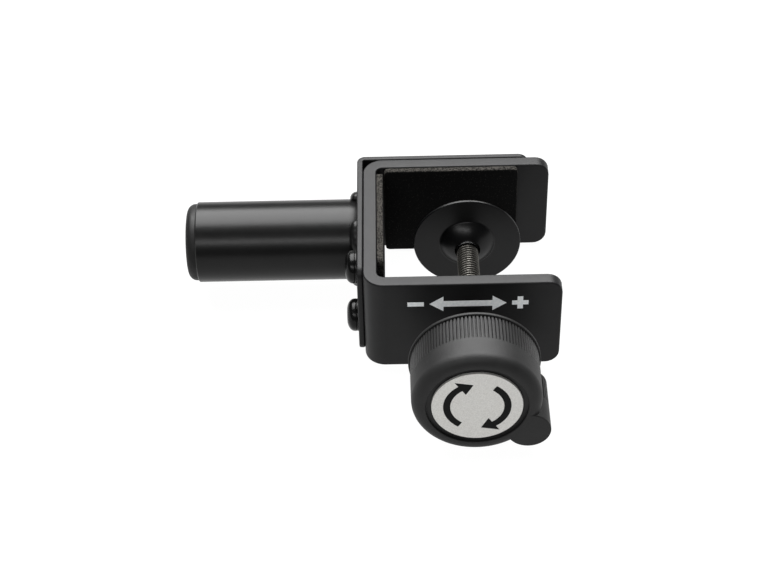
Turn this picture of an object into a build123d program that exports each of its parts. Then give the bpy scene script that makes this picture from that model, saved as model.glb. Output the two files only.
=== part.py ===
from build123d import *
import math
import os

# Pipe clamp: a C-bracket that grips with a hand screw, and a spigot tube on its back.
# Row frame, in millimetres: the origin is on the spigot's axis at the toe of its weld, where
# a receiver pushed over the spigot stops. +X runs from there into the throat, +Y runs along
# the clamp screw towards the fixed jaw, and +Z runs across the width of the bar.

# ---- Bracket: one flat bar bent into a C ----
BAR_WIDTH = 39.0
BAR_THICKNESS = 5.0
JAW_LENGTH = 70.0
BRACKET_DEPTH = 71.0
BEND_INNER_RADIUS = 2.5
JAW_CORNER_RADIUS = 5.2
EDGE_ROUND = 0.5

# ---- Mount plate: thin sheet bent round the back of the web and the fixed jaw ----
PLATE_THICKNESS = 2.2
PLATE_OUTER_BEND = 3.0
PLATE_CORNER_RADIUS = 4.0
PLATE_SETBACK_FROM_SCREW_JAW = 7.3
PLATE_SETBACK_FROM_JAW_END = 7.4
PLATE_EDGE_ROUND = 0.4
PLATE_HOLE_RADIUS = 3.25

# ---- Spigot tube and its plug ----
SPIGOT_RADIUS = 15.0
SPIGOT_LENGTH = 60.0
SPIGOT_WALL = 2.0
SPIGOT_FROM_SCREW_JAW = 48.0
TUBE_END_CHAMFER = 0.4
WELD_LEG = 3.0
WELD_BEVEL = 0.5
WELD_BULGE = 0.62
WELD_STITCH_DEG = 42.0
WELD_STITCHES = 4
PLUG_FLANGE_RADIUS = 14.35
PLUG_FLANGE_LENGTH = 3.7
PLUG_ROUND = 3.0
PLUG_STEM_LENGTH = 14.0
PLUG_STEM_WALL = 1.8
PLUG_RIB_COUNT = 3
PLUG_RIB_HEIGHT = 0.5
PLUG_RIB_THICKNESS = 1.2

# ---- M6 screws and washers that hold the plate to the web ----
MOUNT_SCREW_FROM_SCREW_JAW = 19.0
MOUNT_SCREW_SPACING = 23.5
M6_RADIUS = 3.0
M6_HEAD_RADIUS = 6.0
M6_HEAD_HEIGHT = 3.4
M6_HEAD_ROUND = 2.6
M6_SHORT_OF_PAD = 0.1
M6_SOCKET_FLATS = 4.0
M6_SOCKET_DEPTH = 2.0
WASHER_RADIUS = 6.0
WASHER_THICKNESS = 0.9
WASHER_HOLE_RADIUS = 3.2

# ---- Foam pads in the throat ----
PAD_THICKNESS = 2.5
PAD_LENGTH = 50.2
PAD_EDGE_MARGIN = 0.25
PAD_CORNER_RADIUS = 1.5
JAW_PAD_FROM_WEB_PAD = 0.4

# ---- Clamp screw, M8 by 1.25 ----
SCREW_FROM_WEB = 38.4
SCREW_RADIUS = 4.0
SCREW_PITCH = 1.25
FEED_IN = 14.0
FEED_OUT = 27.5
SCREW_HEAD_FLATS = 13.0
SCREW_HEAD_HEIGHT = 5.3
SCREW_END_CHAMFER = 0.6
NECK_RADIUS = 2.75
NECK_SHOULDER = 0.4
SCREW_HOLE_RADIUS = 4.5
NUT_FLATS = 13.0
HEX_CORNER_CHAMFER = 0.5
NUT_HEIGHT = 6.5
NUT_BEAD_LENGTH = 7.0
NUT_BEAD_LEG = 2.0
LOCK_NUT_HEIGHT = 4.0
RUNNING_CLEARANCE = 0.06

# ---- Pressure foot: pressed disc on a ball tip, with its plate, seat and pad ----
FOOT_FACE_FROM_FIXED_PAD = 16.5
FOOT_PAD_THICKNESS = 1.5
FOOT_PAD_RADIUS = 18.9
FOOT_PAD_ROUND = 0.3
DISC_RADIUS = 19.9
DISC_THICKNESS = 1.1
DISC_MOUTH_RADIUS = 4.75
DISC_DOME_RADIUS = 13.0
DISC_DOME_BASE_RADIUS = 10.3
DISC_CREASE_ROUND = 0.7
DISC_RIM_ROUND = 0.3
BALL_RADIUS = 5.0
BALL_CROWN_GAP = 0.6
BALL_CROWN_DROP = 0.6
BALL_CENTRE_BEHIND_DISC = 0.4
SEAT_THICKNESS = 0.7
SEAT_MOUTH_RADIUS = 3.6
SEAT_REAR_GAP = 1.0
SWIVEL_CLEARANCE = 0.3
THRUST_PLATE_RADIUS = 12.0
THRUST_PLATE_THICKNESS = 0.8
NECK_WASHER_RADIUS = 3.9
NECK_WASHER_THICKNESS = 0.7
NECK_WASHER_FROM_MOUTH = 0.25

# ---- Knob: moulded shell, back plate, inlay ----
KNOB_GAP_TO_JAW = 17.8
KNOB_LENGTH = 22.6
KNOB_FLANGE_RADIUS = 23.1
KNOB_FLANGE_THICKNESS = 1.4
KNOB_BAND_RADIUS = 22.5
KNOB_BAND_LENGTH = 10.6
KNOB_FRONT_RADIUS = 22.4
KNOB_EDGE_ROUND = 3.8
KNOB_WALL = 3.0
KNOB_FRONT_WALL = 4.4
KNOB_HUB_RADIUS = 10.5
KNOB_RIB_COUNT = 6
KNOB_RIB_THICKNESS = 2.0
KNOB_RIB_REACH = 32.0
KNOB_LOBE_RADIUS = 7.7
KNOB_LOBE_FROM_AXIS = 21.8
KNOB_LOBE_ANGLE = -34.7
KNOB_LOBE_WALL = 2.6
INLAY_RADIUS = 15.7
INLAY_THICKNESS = 0.9
INLAY_GROOVE_WIDTH = 1.9
INLAY_GROOVE_DEPTH = 1.2
INLAY_SHOULDER = 0.1
HEAD_BELOW_INLAY = 0.3
POCKET_CLEARANCE = 0.1

# ---- Places worked out from the sizes above ----
PLATE_OUTER_X = WELD_LEG
TUBE_END_X = PLATE_OUTER_X - SPIGOT_LENGTH
WEB_OUTER_X = PLATE_OUTER_X + PLATE_THICKNESS
WEB_INNER_X = WEB_OUTER_X + BAR_THICKNESS
JAW_END_X = WEB_OUTER_X + JAW_LENGTH
SCREW_X = WEB_OUTER_X + SCREW_FROM_WEB
SCREW_JAW_OUTER_Y = -SPIGOT_FROM_SCREW_JAW
SCREW_JAW_INNER_Y = SCREW_JAW_OUTER_Y + BAR_THICKNESS
FIXED_JAW_OUTER_Y = SCREW_JAW_OUTER_Y + BRACKET_DEPTH
FIXED_JAW_INNER_Y = FIXED_JAW_OUTER_Y - BAR_THICKNESS
FIXED_PAD_FACE_Y = FIXED_JAW_INNER_Y - PAD_THICKNESS
FOOT_FACE_Y = FIXED_PAD_FACE_Y - FOOT_FACE_FROM_FIXED_PAD
DISC_BACK_Y = FOOT_FACE_Y - FOOT_PAD_THICKNESS
DISC_FRONT_Y = DISC_BACK_Y - DISC_THICKNESS
BALL_Y = DISC_BACK_Y + BALL_CENTRE_BEHIND_DISC
NECK_END_Y = BALL_Y - BALL_RADIUS / 2
SEAT_INNER = BALL_RADIUS + SWIVEL_CLEARANCE
SEAT_OUTER = SEAT_INNER + SEAT_THICKNESS
DOME_Y = DISC_FRONT_Y + math.sqrt(DISC_DOME_RADIUS**2 - DISC_DOME_BASE_RADIUS**2)
MOUTH_Y = DOME_Y - math.sqrt(DISC_DOME_RADIUS**2 - DISC_MOUTH_RADIUS**2)
NECK_WASHER_Y = MOUTH_Y - NECK_WASHER_FROM_MOUTH
NECK_START_Y = NECK_WASHER_Y - NECK_WASHER_THICKNESS
KNOB_REAR_Y = SCREW_JAW_OUTER_Y - KNOB_GAP_TO_JAW
KNOB_SHELL_REAR_Y = KNOB_REAR_Y - KNOB_FLANGE_THICKNESS
KNOB_FACE_Y = KNOB_REAR_Y - KNOB_LENGTH
INLAY_SEAT_Y = KNOB_FACE_Y + INLAY_THICKNESS + INLAY_SHOULDER
HEAD_FRONT_Y = INLAY_SEAT_Y + HEAD_BELOW_INLAY
HEAD_REAR_Y = HEAD_FRONT_Y + SCREW_HEAD_HEIGHT

LOW = (Align.MIN, Align.MIN)
ON_BASE = (Align.CENTER, Align.CENTER, Align.MIN)
OVERCUT = 1.0


def rod_x(radius, start_x, end_x, y, z):
    """Round bar along X, from start_x to end_x."""
    return Pos(start_x, y, z) * Rot(0, 90, 0) * Cylinder(radius, end_x - start_x, align=ON_BASE)


def rod_y(radius, start_y, end_y):
    """Round bar on the clamp screw's axis, from start_y to end_y."""
    bar = Cylinder(radius, end_y - start_y, align=ON_BASE)
    return Pos(SCREW_X, start_y, 0) * Rot(-90, 0, 0) * bar


def hex_prism(flats, height):
    return extrude(RegularPolygon(flats / math.sqrt(3), 6), amount=height)


def hex_y(flats, start_y, end_y):
    """Hexagon bar on the clamp screw's axis, its corners turned down at both ends."""
    height = end_y - start_y
    turned = Cylinder(flats / math.sqrt(3), height, align=ON_BASE)
    turned = chamfer(turned.edges().filter_by(GeomType.CIRCLE), HEX_CORNER_CHAMFER)
    bar = hex_prism(flats, height) & turned
    return Pos(SCREW_X, start_y, 0) * Rot(-90, 0, 0) * bar


def circles(solid, end):
    """Circular edges at one end of a turned solid, as the axis and 0 or -1 for its ends."""
    axis, place = end
    return solid.edges().filter_by(GeomType.CIRCLE).group_by(axis)[place]


def turned_about_screw(profile):
    """Solid of revolution about the clamp screw, from a face drawn as (radius, y)."""
    return Pos(SCREW_X, 0, 0) * revolve(profile, Axis.Y)


def foam_slab():
    """Pad cut from foam sheet, long in X and nearly as wide as the bar, thick along +Y."""
    face = RectangleRounded(PAD_LENGTH, BAR_WIDTH - 2 * PAD_EDGE_MARGIN, PAD_CORNER_RADIUS)
    return Rot(-90, 0, 0) * extrude(face, amount=PAD_THICKNESS)


# ---- Fixed frame ----
def clamp_bracket():
    outer = Rectangle(JAW_LENGTH, BRACKET_DEPTH, align=LOW)
    outer = fillet(outer.vertices().group_by(Axis.X)[0], BEND_INNER_RADIUS + BAR_THICKNESS)
    inner = Rectangle(JAW_LENGTH, BRACKET_DEPTH - 2 * BAR_THICKNESS, align=LOW)
    inner = fillet(inner.vertices().group_by(Axis.X)[0], BEND_INNER_RADIUS)
    profile = outer - Pos(BAR_THICKNESS, BAR_THICKNESS) * inner
    bar = extrude(profile, amount=BAR_WIDTH / 2, both=True)
    bar = fillet(bar.edges().filter_by(Axis.Y).group_by(Axis.X)[-1], JAW_CORNER_RADIUS)
    sides = bar.faces().filter_by(Axis.Z)
    bar = fillet(sides.edges(), EDGE_ROUND)
    bar = Pos(WEB_OUTER_X, SCREW_JAW_OUTER_Y, 0) * bar
    bar -= rod_y(SCREW_HOLE_RADIUS, SCREW_JAW_OUTER_Y - OVERCUT, SCREW_JAW_INNER_Y + OVERCUT)
    for y, z in mount_screw_places():
        tapped = M6_RADIUS + RUNNING_CLEARANCE
        bar -= rod_x(tapped, WEB_OUTER_X - OVERCUT, WEB_INNER_X + OVERCUT, y, z)
    return bar


def mount_screw_places():
    y = SCREW_JAW_OUTER_Y + MOUNT_SCREW_FROM_SCREW_JAW
    return [(y, side * MOUNT_SCREW_SPACING / 2) for side in (-1, 1)]


def mount_plate():
    length_x = JAW_END_X - PLATE_SETBACK_FROM_JAW_END - PLATE_OUTER_X
    length_y = BRACKET_DEPTH - PLATE_SETBACK_FROM_SCREW_JAW + PLATE_THICKNESS
    start_y = SCREW_JAW_OUTER_Y + PLATE_SETBACK_FROM_SCREW_JAW
    outer = Rectangle(length_x, length_y, align=LOW)
    corner = outer.vertices().group_by(Axis.Y)[-1].sort_by(Axis.X)[0]
    outer = fillet(corner, PLATE_OUTER_BEND)
    inner = Rectangle(length_x, length_y, align=LOW)
    corner = inner.vertices().group_by(Axis.Y)[-1].sort_by(Axis.X)[0]
    inner = fillet(corner, PLATE_OUTER_BEND - PLATE_THICKNESS)
    profile = outer - Pos(PLATE_THICKNESS, -PLATE_THICKNESS) * inner
    sheet = extrude(profile, amount=BAR_WIDTH / 2, both=True)
    far_leg_end = sheet.edges().filter_by(Axis.Y).group_by(Axis.X)[-1]
    near_leg_end = sheet.edges().filter_by(Axis.X).group_by(Axis.Y)[0]
    sheet = fillet(far_leg_end + near_leg_end, PLATE_CORNER_RADIUS)
    sides = sheet.faces().filter_by(Axis.Z)
    sheet = fillet(sides.edges(), PLATE_EDGE_ROUND)
    sheet = Pos(PLATE_OUTER_X, start_y, 0) * sheet
    for y, z in mount_screw_places():
        sheet -= rod_x(PLATE_HOLE_RADIUS, PLATE_OUTER_X - OVERCUT, WEB_OUTER_X + OVERCUT, y, z)
    return sheet


def spigot_tube():
    """Tube cut square at the plug and bevelled a little at the plate, as a weld prep."""
    tube = rod_x(SPIGOT_RADIUS, TUBE_END_X, PLATE_OUTER_X, 0, 0)
    tube = chamfer(circles(tube, (Axis.X, 0)), TUBE_END_CHAMFER)
    side = tube.faces().filter_by(GeomType.CYLINDER)[0]
    tube = chamfer(circles(tube, (Axis.X, -1)), WELD_LEG, WELD_BEVEL, reference=side)
    bore = SPIGOT_RADIUS - SPIGOT_WALL
    return tube - rod_x(bore, TUBE_END_X - OVERCUT, PLATE_OUTER_X + OVERCUT, 0, 0)


def tube_weld_beads():
    """Stitches of the same size, evenly spaced round the tube, each filling the bevel."""
    bulge = WELD_LEG * WELD_BULGE
    outline = [(0, SPIGOT_RADIUS - WELD_BEVEL), (0, SPIGOT_RADIUS + WELD_LEG)]
    outline += [(-bulge, SPIGOT_RADIUS + bulge), (-WELD_LEG, SPIGOT_RADIUS)]
    section = make_face(Polyline(*outline, close=True))
    stitch = revolve(section, Axis.X, revolution_arc=WELD_STITCH_DEG)
    first = 45 - WELD_STITCH_DEG / 2
    step = 360 / WELD_STITCHES
    place = Pos(PLATE_OUTER_X, 0, 0)
    return Compound([place * Rot(first + step * index, 0, 0) * stitch for index in range(WELD_STITCHES)])


def tube_end_plug():
    bore = SPIGOT_RADIUS - SPIGOT_WALL
    stem = bore - PLUG_RIB_HEIGHT - RUNNING_CLEARANCE
    flange = rod_x(PLUG_FLANGE_RADIUS, TUBE_END_X - PLUG_FLANGE_LENGTH, TUBE_END_X, 0, 0)
    flange = fillet(circles(flange, (Axis.X, 0)), PLUG_ROUND)
    plug = flange + rod_x(stem, TUBE_END_X - OVERCUT, TUBE_END_X + PLUG_STEM_LENGTH, 0, 0)
    for index in range(PLUG_RIB_COUNT):
        start = TUBE_END_X + (index + 0.5) * PLUG_STEM_LENGTH / PLUG_RIB_COUNT
        plug += rod_x(stem + PLUG_RIB_HEIGHT, start, start + PLUG_RIB_THICKNESS, 0, 0)
    stem_end = TUBE_END_X + PLUG_STEM_LENGTH
    return plug - rod_x(stem - PLUG_STEM_WALL, TUBE_END_X, stem_end + OVERCUT, 0, 0)


def web_pad():
    middle_y = FIXED_PAD_FACE_Y - PAD_LENGTH / 2
    return Pos(WEB_INNER_X, middle_y, 0) * Rot(0, 0, -90) * foam_slab()


def jaw_pad():
    start_x = WEB_INNER_X + PAD_THICKNESS + JAW_PAD_FROM_WEB_PAD
    return Pos(start_x + PAD_LENGTH / 2, FIXED_PAD_FACE_Y, 0) * foam_slab()


def mount_screws():
    screws = []
    head_seat = PLATE_OUTER_X - WASHER_THICKNESS
    head_top = head_seat - M6_HEAD_HEIGHT
    for y, z in mount_screw_places():
        head = rod_x(M6_HEAD_RADIUS, head_top, head_seat, y, z)
        head = fillet(circles(head, (Axis.X, 0)), M6_HEAD_ROUND)
        tip = WEB_INNER_X - M6_SHORT_OF_PAD
        screw = head + rod_x(M6_RADIUS, head_top + M6_SOCKET_DEPTH, tip, y, z)
        socket = hex_prism(M6_SOCKET_FLATS, M6_SOCKET_DEPTH)
        screw -= Pos(head_top, y, z) * Rot(0, 90, 0) * socket
        screws.append(screw)
    return Compound(screws)


def mount_washers():
    washers = []
    start = PLATE_OUTER_X - WASHER_THICKNESS
    for y, z in mount_screw_places():
        ring = rod_x(WASHER_RADIUS, start, PLATE_OUTER_X, y, z)
        hole = rod_x(WASHER_HOLE_RADIUS, start - OVERCUT, PLATE_OUTER_X + OVERCUT, y, z)
        washers.append(ring - hole)
    return Compound(washers)


def hex_nut(start_y, height):
    bore = SCREW_RADIUS + RUNNING_CLEARANCE
    nut = hex_y(NUT_FLATS, start_y, start_y + height)
    return nut - rod_y(bore, start_y - OVERCUT, start_y + height + OVERCUT)


def screw_nut():
    return hex_nut(SCREW_JAW_INNER_Y, NUT_HEIGHT)


def nut_weld_beads():
    """One fillet stitch at the foot of each of two opposite flats of the nut."""
    section = make_face(Polyline((0, 0), (NUT_BEAD_LEG, 0), (0, NUT_BEAD_LEG), close=True))
    stitch = extrude(section, amount=NUT_BEAD_LENGTH / 2, both=True)
    place = Pos(SCREW_X, SCREW_JAW_INNER_Y, 0)
    beads = []
    for turn in (90, -90):
        lying = Pos(NUT_FLATS / 2, 0, 0) * stitch
        beads.append(place * Rot(0, turn, 0) * lying)
    return Compound(beads)


# ---- Screw and foot ----
def clamp_screw():
    head = hex_y(SCREW_HEAD_FLATS, HEAD_FRONT_Y, HEAD_REAR_Y)
    shank = rod_y(SCREW_RADIUS, HEAD_REAR_Y - OVERCUT, NECK_START_Y)
    shank = chamfer(circles(shank, (Axis.Y, -1)), SCREW_END_CHAMFER)
    neck = rod_y(NECK_RADIUS, NECK_START_Y - OVERCUT, NECK_END_Y)
    return head + shank + neck


def screw_tip():
    """Mushroom tip pressed on the neck: a ball in front, a low crown behind."""
    ball = Pos(SCREW_X, BALL_Y, 0) * Sphere(BALL_RADIUS)
    crown_apex = BALL_Y - BALL_CROWN_GAP
    edge = math.sqrt(BALL_RADIUS**2 - (BALL_CROWN_GAP + BALL_CROWN_DROP) ** 2)
    crown_radius = (edge**2 + BALL_CROWN_DROP**2) / (2 * BALL_CROWN_DROP)
    crown = Pos(SCREW_X, crown_apex - crown_radius, 0) * Sphere(crown_radius)
    tip = ball & crown
    front = BALL_Y - BALL_RADIUS - OVERCUT
    flat = BALL_Y - math.sqrt(BALL_RADIUS**2 - (NECK_RADIUS + NECK_SHOULDER) ** 2)
    tip -= rod_y(BALL_RADIUS, front, flat)
    return tip - rod_y(NECK_RADIUS, front, NECK_END_Y)


def ball_seat():
    shell = Pos(SCREW_X, BALL_Y, 0) * (Sphere(SEAT_OUTER) - Sphere(SEAT_INNER))
    shell -= rod_y(SEAT_OUTER + OVERCUT, BALL_Y - SEAT_REAR_GAP, BALL_Y + SEAT_OUTER + OVERCUT)
    return shell - rod_y(SEAT_MOUTH_RADIUS, BALL_Y - SEAT_OUTER - OVERCUT, BALL_Y)


def neck_washer():
    ring = rod_y(NECK_WASHER_RADIUS, NECK_START_Y, NECK_WASHER_Y)
    hole = NECK_RADIUS + RUNNING_CLEARANCE
    return ring - rod_y(hole, NECK_START_Y - OVERCUT, NECK_WASHER_Y + OVERCUT)


def pressure_disc():
    """Pressed sheet: a flat rim, a crease, then a shallow dome over the ball seat."""

    def side(dome, face_y):
        """Dome and flat of one face of the sheet, from the mouth to the rim."""
        mouth = (DISC_MOUTH_RADIUS, DOME_Y - math.sqrt(dome**2 - DISC_MOUTH_RADIUS**2))
        base = (math.sqrt(dome**2 - (DOME_Y - face_y) ** 2), face_y)
        half = Vector(*mouth) + Vector(*base) - 2 * Vector(0, DOME_Y)
        crest = Vector(0, DOME_Y) + half.normalized() * dome
        return ThreePointArc(mouth, crest, base), Line(base, (DISC_RADIUS, face_y)), mouth

    front = side(DISC_DOME_RADIUS, DISC_FRONT_Y)
    back = side(DISC_DOME_RADIUS - DISC_THICKNESS, DISC_BACK_Y)
    rim = Line((DISC_RADIUS, DISC_FRONT_Y), (DISC_RADIUS, DISC_BACK_Y))
    mouth_wall = Line(front[2], back[2])
    section = make_face(Curve() + [*front[:2], *back[:2], rim, mouth_wall])
    section = fillet(section.vertices().sort_by(Axis.X)[-2:], DISC_RIM_ROUND)
    section = fillet(section.vertices().sort_by(Axis.X)[2:4], DISC_CREASE_ROUND)
    return turned_about_screw(section)


def thrust_plate():
    return rod_y(THRUST_PLATE_RADIUS, DISC_BACK_Y, DISC_BACK_Y + THRUST_PLATE_THICKNESS)


def pressure_pad():
    pad = rod_y(FOOT_PAD_RADIUS, DISC_BACK_Y, FOOT_FACE_Y)
    pad = fillet(circles(pad, (Axis.Y, -1)), FOOT_PAD_ROUND)
    pocket_y = DISC_BACK_Y + THRUST_PLATE_THICKNESS
    pocket = THRUST_PLATE_RADIUS + RUNNING_CLEARANCE
    return pad - rod_y(pocket, DISC_BACK_Y - OVERCUT, pocket_y)


# ---- Knob ----
def lobe_y(radius, start_y, end_y):
    angle = math.radians(KNOB_LOBE_ANGLE)
    x = KNOB_LOBE_FROM_AXIS * math.cos(angle)
    z = KNOB_LOBE_FROM_AXIS * math.sin(angle)
    return Pos(x, 0, z) * rod_y(radius, start_y, end_y)


def knob_cavity():
    """Hollow of the shell behind its front wall, with the hub and ribs left standing."""
    floor_y = KNOB_FACE_Y + KNOB_FRONT_WALL
    open_y = KNOB_SHELL_REAR_Y + OVERCUT
    cavity = rod_y(KNOB_BAND_RADIUS - KNOB_WALL, floor_y, open_y)
    cavity += lobe_y(KNOB_LOBE_RADIUS - KNOB_LOBE_WALL, floor_y, open_y)
    cavity -= rod_y(KNOB_HUB_RADIUS, floor_y - OVERCUT, open_y + OVERCUT)
    rib_corner = (Align.MIN, Align.MIN, Align.CENTER)
    rib = Box(KNOB_RIB_REACH, open_y - floor_y, KNOB_RIB_THICKNESS, align=rib_corner)
    for index in range(KNOB_RIB_COUNT):
        turn = KNOB_LOBE_ANGLE + index * 360 / KNOB_RIB_COUNT
        cavity -= Pos(SCREW_X, floor_y, 0) * Rot(0, -turn, 0) * rib
    return cavity


def knob_blank():
    """Outside of the knob: a slightly tapered cup with a round front edge, and its lobe."""
    side_end = KNOB_SHELL_REAR_Y - KNOB_BAND_LENGTH
    outline = [(0, KNOB_SHELL_REAR_Y), (KNOB_BAND_RADIUS, KNOB_SHELL_REAR_Y)]
    outline += [(KNOB_BAND_RADIUS, side_end), (KNOB_FRONT_RADIUS, KNOB_FACE_Y), (0, KNOB_FACE_Y)]
    cup = turned_about_screw(make_face(Polyline(*outline, close=True)))
    cup = fillet(circles(cup, (Axis.Y, 0)), KNOB_EDGE_ROUND)
    return cup + lobe_y(KNOB_LOBE_RADIUS, KNOB_FACE_Y, KNOB_SHELL_REAR_Y)


def knob_body():
    front = KNOB_FACE_Y - OVERCUT
    rear = KNOB_SHELL_REAR_Y + OVERCUT
    groove_y = KNOB_FACE_Y + INLAY_GROOVE_DEPTH
    groove = rod_y(INLAY_RADIUS + INLAY_GROOVE_WIDTH, front, groove_y)
    groove -= rod_y(INLAY_RADIUS - INLAY_GROOVE_WIDTH, front - OVERCUT, groove_y + OVERCUT)
    nut_pocket = NUT_FLATS / math.sqrt(3) + POCKET_CLEARANCE
    body = knob_blank() - knob_cavity() - groove
    body -= rod_y(INLAY_RADIUS, front, INLAY_SEAT_Y)
    body -= hex_y(SCREW_HEAD_FLATS + 2 * POCKET_CLEARANCE, front, HEAD_REAR_Y)
    body -= rod_y(SCREW_RADIUS + RUNNING_CLEARANCE, front, rear)
    return body - rod_y(nut_pocket, KNOB_SHELL_REAR_Y - LOCK_NUT_HEIGHT, rear)


def knob_back_plate():
    plate = rod_y(KNOB_FLANGE_RADIUS, KNOB_SHELL_REAR_Y, KNOB_REAR_Y)
    plate += lobe_y(KNOB_LOBE_RADIUS, KNOB_SHELL_REAR_Y, KNOB_REAR_Y)
    hole = SCREW_RADIUS + POCKET_CLEARANCE
    return plate - rod_y(hole, KNOB_SHELL_REAR_Y - OVERCUT, KNOB_REAR_Y + OVERCUT)


def knob_inlay():
    return rod_y(INLAY_RADIUS - RUNNING_CLEARANCE, INLAY_SEAT_Y - INLAY_THICKNESS, INLAY_SEAT_Y)


def knob_lock_nut():
    return hex_nut(KNOB_SHELL_REAR_Y - LOCK_NUT_HEIGHT, LOCK_NUT_HEIGHT)


SUB_PARTS = [
    clamp_bracket,
    mount_plate,
    spigot_tube,
    tube_weld_beads,
    tube_end_plug,
    web_pad,
    jaw_pad,
    mount_screws,
    mount_washers,
    screw_nut,
    nut_weld_beads,
    clamp_screw,
    screw_tip,
    ball_seat,
    neck_washer,
    pressure_disc,
    thrust_plate,
    pressure_pad,
    knob_body,
    knob_back_plate,
    knob_inlay,
    knob_lock_nut,
]

os.makedirs("parts", exist_ok=True)
for make_sub_part in SUB_PARTS:
    shape = make_sub_part()
    shape.label = make_sub_part.__name__
    export_step(shape, f"parts/{make_sub_part.__name__}.step")
    print(make_sub_part.__name__, round(shape.volume, 1))

turns_in = FEED_IN / SCREW_PITCH
turns_out = FEED_OUT / SCREW_PITCH
print("feed per radian", SCREW_PITCH / math.tau, "degrees out", -360 * turns_out, "in", 360 * turns_in)
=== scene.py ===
# %% [markdown]
# # A pipe clamp: bent bracket, welded spigot, hand screw and swivelling foot
# The clamp grips a pipe or a table edge between a foam-faced jaw and a pressed steel foot that a
# big plastic knob drives. A CAD model already says where every part goes and how it moves. This
# lesson dresses that model: it keeps the CAD parts whose shape is final, rebuilds the parts whose
# look depends on detail that CAD leaves out, and gives each one the finish of the real material.

# %% Start from the CAD frame
import math
from functools import partial

import bmesh
import bpy
from mathutils import Matrix, Vector, noise


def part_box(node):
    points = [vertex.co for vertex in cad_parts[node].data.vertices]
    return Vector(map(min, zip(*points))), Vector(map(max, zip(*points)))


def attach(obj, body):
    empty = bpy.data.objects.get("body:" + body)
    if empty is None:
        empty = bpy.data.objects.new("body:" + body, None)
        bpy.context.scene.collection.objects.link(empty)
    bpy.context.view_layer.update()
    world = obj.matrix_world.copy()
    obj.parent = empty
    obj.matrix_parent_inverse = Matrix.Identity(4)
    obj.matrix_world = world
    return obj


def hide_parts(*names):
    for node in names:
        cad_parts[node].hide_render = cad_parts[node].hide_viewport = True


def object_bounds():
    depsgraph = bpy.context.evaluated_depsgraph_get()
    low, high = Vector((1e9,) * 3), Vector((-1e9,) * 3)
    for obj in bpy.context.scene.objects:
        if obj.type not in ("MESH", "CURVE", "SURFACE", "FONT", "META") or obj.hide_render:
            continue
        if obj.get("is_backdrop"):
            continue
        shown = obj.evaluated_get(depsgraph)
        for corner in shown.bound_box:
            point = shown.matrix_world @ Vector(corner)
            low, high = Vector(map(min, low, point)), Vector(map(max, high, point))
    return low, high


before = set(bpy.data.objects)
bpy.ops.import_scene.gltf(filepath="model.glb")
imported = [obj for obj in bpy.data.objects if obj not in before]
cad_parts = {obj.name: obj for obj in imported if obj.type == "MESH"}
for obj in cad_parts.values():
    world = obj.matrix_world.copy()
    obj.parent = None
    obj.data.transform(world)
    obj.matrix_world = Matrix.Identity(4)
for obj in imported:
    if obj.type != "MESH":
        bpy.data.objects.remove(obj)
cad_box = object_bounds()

MM = 0.001

# %% [markdown]
# ## Camera, light and floor come first
# Every later choice is judged through this camera, so it is placed before anything is built: a
# long lens, high in front of the knob. The shot is a plain catalogue one. A wide soft panel hangs
# overhead and behind, so top edges turn mid grey while the faces that look at the camera stay
# dark. The floor is a lit white sheet, which keeps shadows faint. It is tilted a little, because
# the clamp lies on the rim of its knob and on the far edge of its bracket. A gamma just under one
# deepens the blacks and leaves the white sheet white.

# %% Camera
CAMERA_AT = Vector((18.02, -511.67, 440.21)) * MM
LOOKS_DOWN, TURNS_LEFT, LEANS = 42.06, 0.785, -1.667

lens = bpy.data.cameras.new("catalogue_camera")
lens.lens, lens.sensor_width = 84.9, 36.0
lens.clip_start, lens.clip_end = 0.01, 20.0
camera = bpy.data.objects.new("catalogue_camera", lens)
bpy.context.scene.collection.objects.link(camera)
turn = Matrix.Rotation(math.radians(TURNS_LEFT), 4, "Z")
tip = Matrix.Rotation(math.radians(90 - LOOKS_DOWN), 4, "X")
lean = Matrix.Rotation(math.radians(LEANS), 4, "Z")
camera.matrix_world = Matrix.Translation(CAMERA_AT) @ turn @ tip @ lean
bpy.context.scene.camera = camera
bpy.context.scene.view_settings.view_transform = "Standard"
bpy.context.scene.view_settings.gamma = 0.9
print("camera stands", round(camera.location.length, 3), "m from the spigot")

# %% [markdown]
# ### Two small helpers
# Colours are easiest to pick as the hex values of a paint chart, and Blender wants linear light,
# so one function converts them. Another adds a node, sets it up and links it in one call, which
# keeps the recipes for materials and for Geometry Nodes short enough to read.

# %% Colour and node helpers
def linear(hex_colour, alpha=1.0):
    """sRGB hex such as "#1b1b1c" to the linear colour that Blender mixes."""
    values = [int(hex_colour[i:i + 2], 16) / 255 for i in (1, 3, 5)]
    bright = [v / 12.92 if v <= 0.04045 else ((v + 0.055) / 1.055) ** 2.4 for v in values]
    return (*bright, alpha)


def add_node(tree, kind, inputs=None, **settings):
    """Adds a node, sets it up, and links or fills its inputs, by name or by number."""
    node = tree.nodes.new(kind)
    for key, value in settings.items():
        setattr(node, key, value)
    for key, value in (inputs or {}).items():
        if isinstance(value, bpy.types.NodeSocket):
            tree.links.new(value, node.inputs[key])
        else:
            node.inputs[key].default_value = value
    return node


# %% Light and floor
LIGHTS_AIM = Vector((0.02, 0.0, 0.0))


def softbox(name, place, size, watts):
    """Rectangular soft light at place, turned towards the clamp. Sizes in metres."""
    panel = bpy.data.lights.new(name, "AREA")
    panel.shape, panel.size, panel.size_y = "RECTANGLE", *size
    panel.energy = watts
    light = bpy.data.objects.new(name, panel)
    light.location = place
    light.rotation_euler = (LIGHTS_AIM - Vector(place)).to_track_quat("-Z", "Y").to_euler()
    bpy.context.scene.collection.objects.link(light)


softbox("overhead_panel", place=(0.0, 0.54, 1.07), size=(1.7, 1.3), watts=68.0)
softbox("front_strip", place=(-0.25, -0.95, 0.80), size=(1.1, 0.20), watts=5.2)

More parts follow.
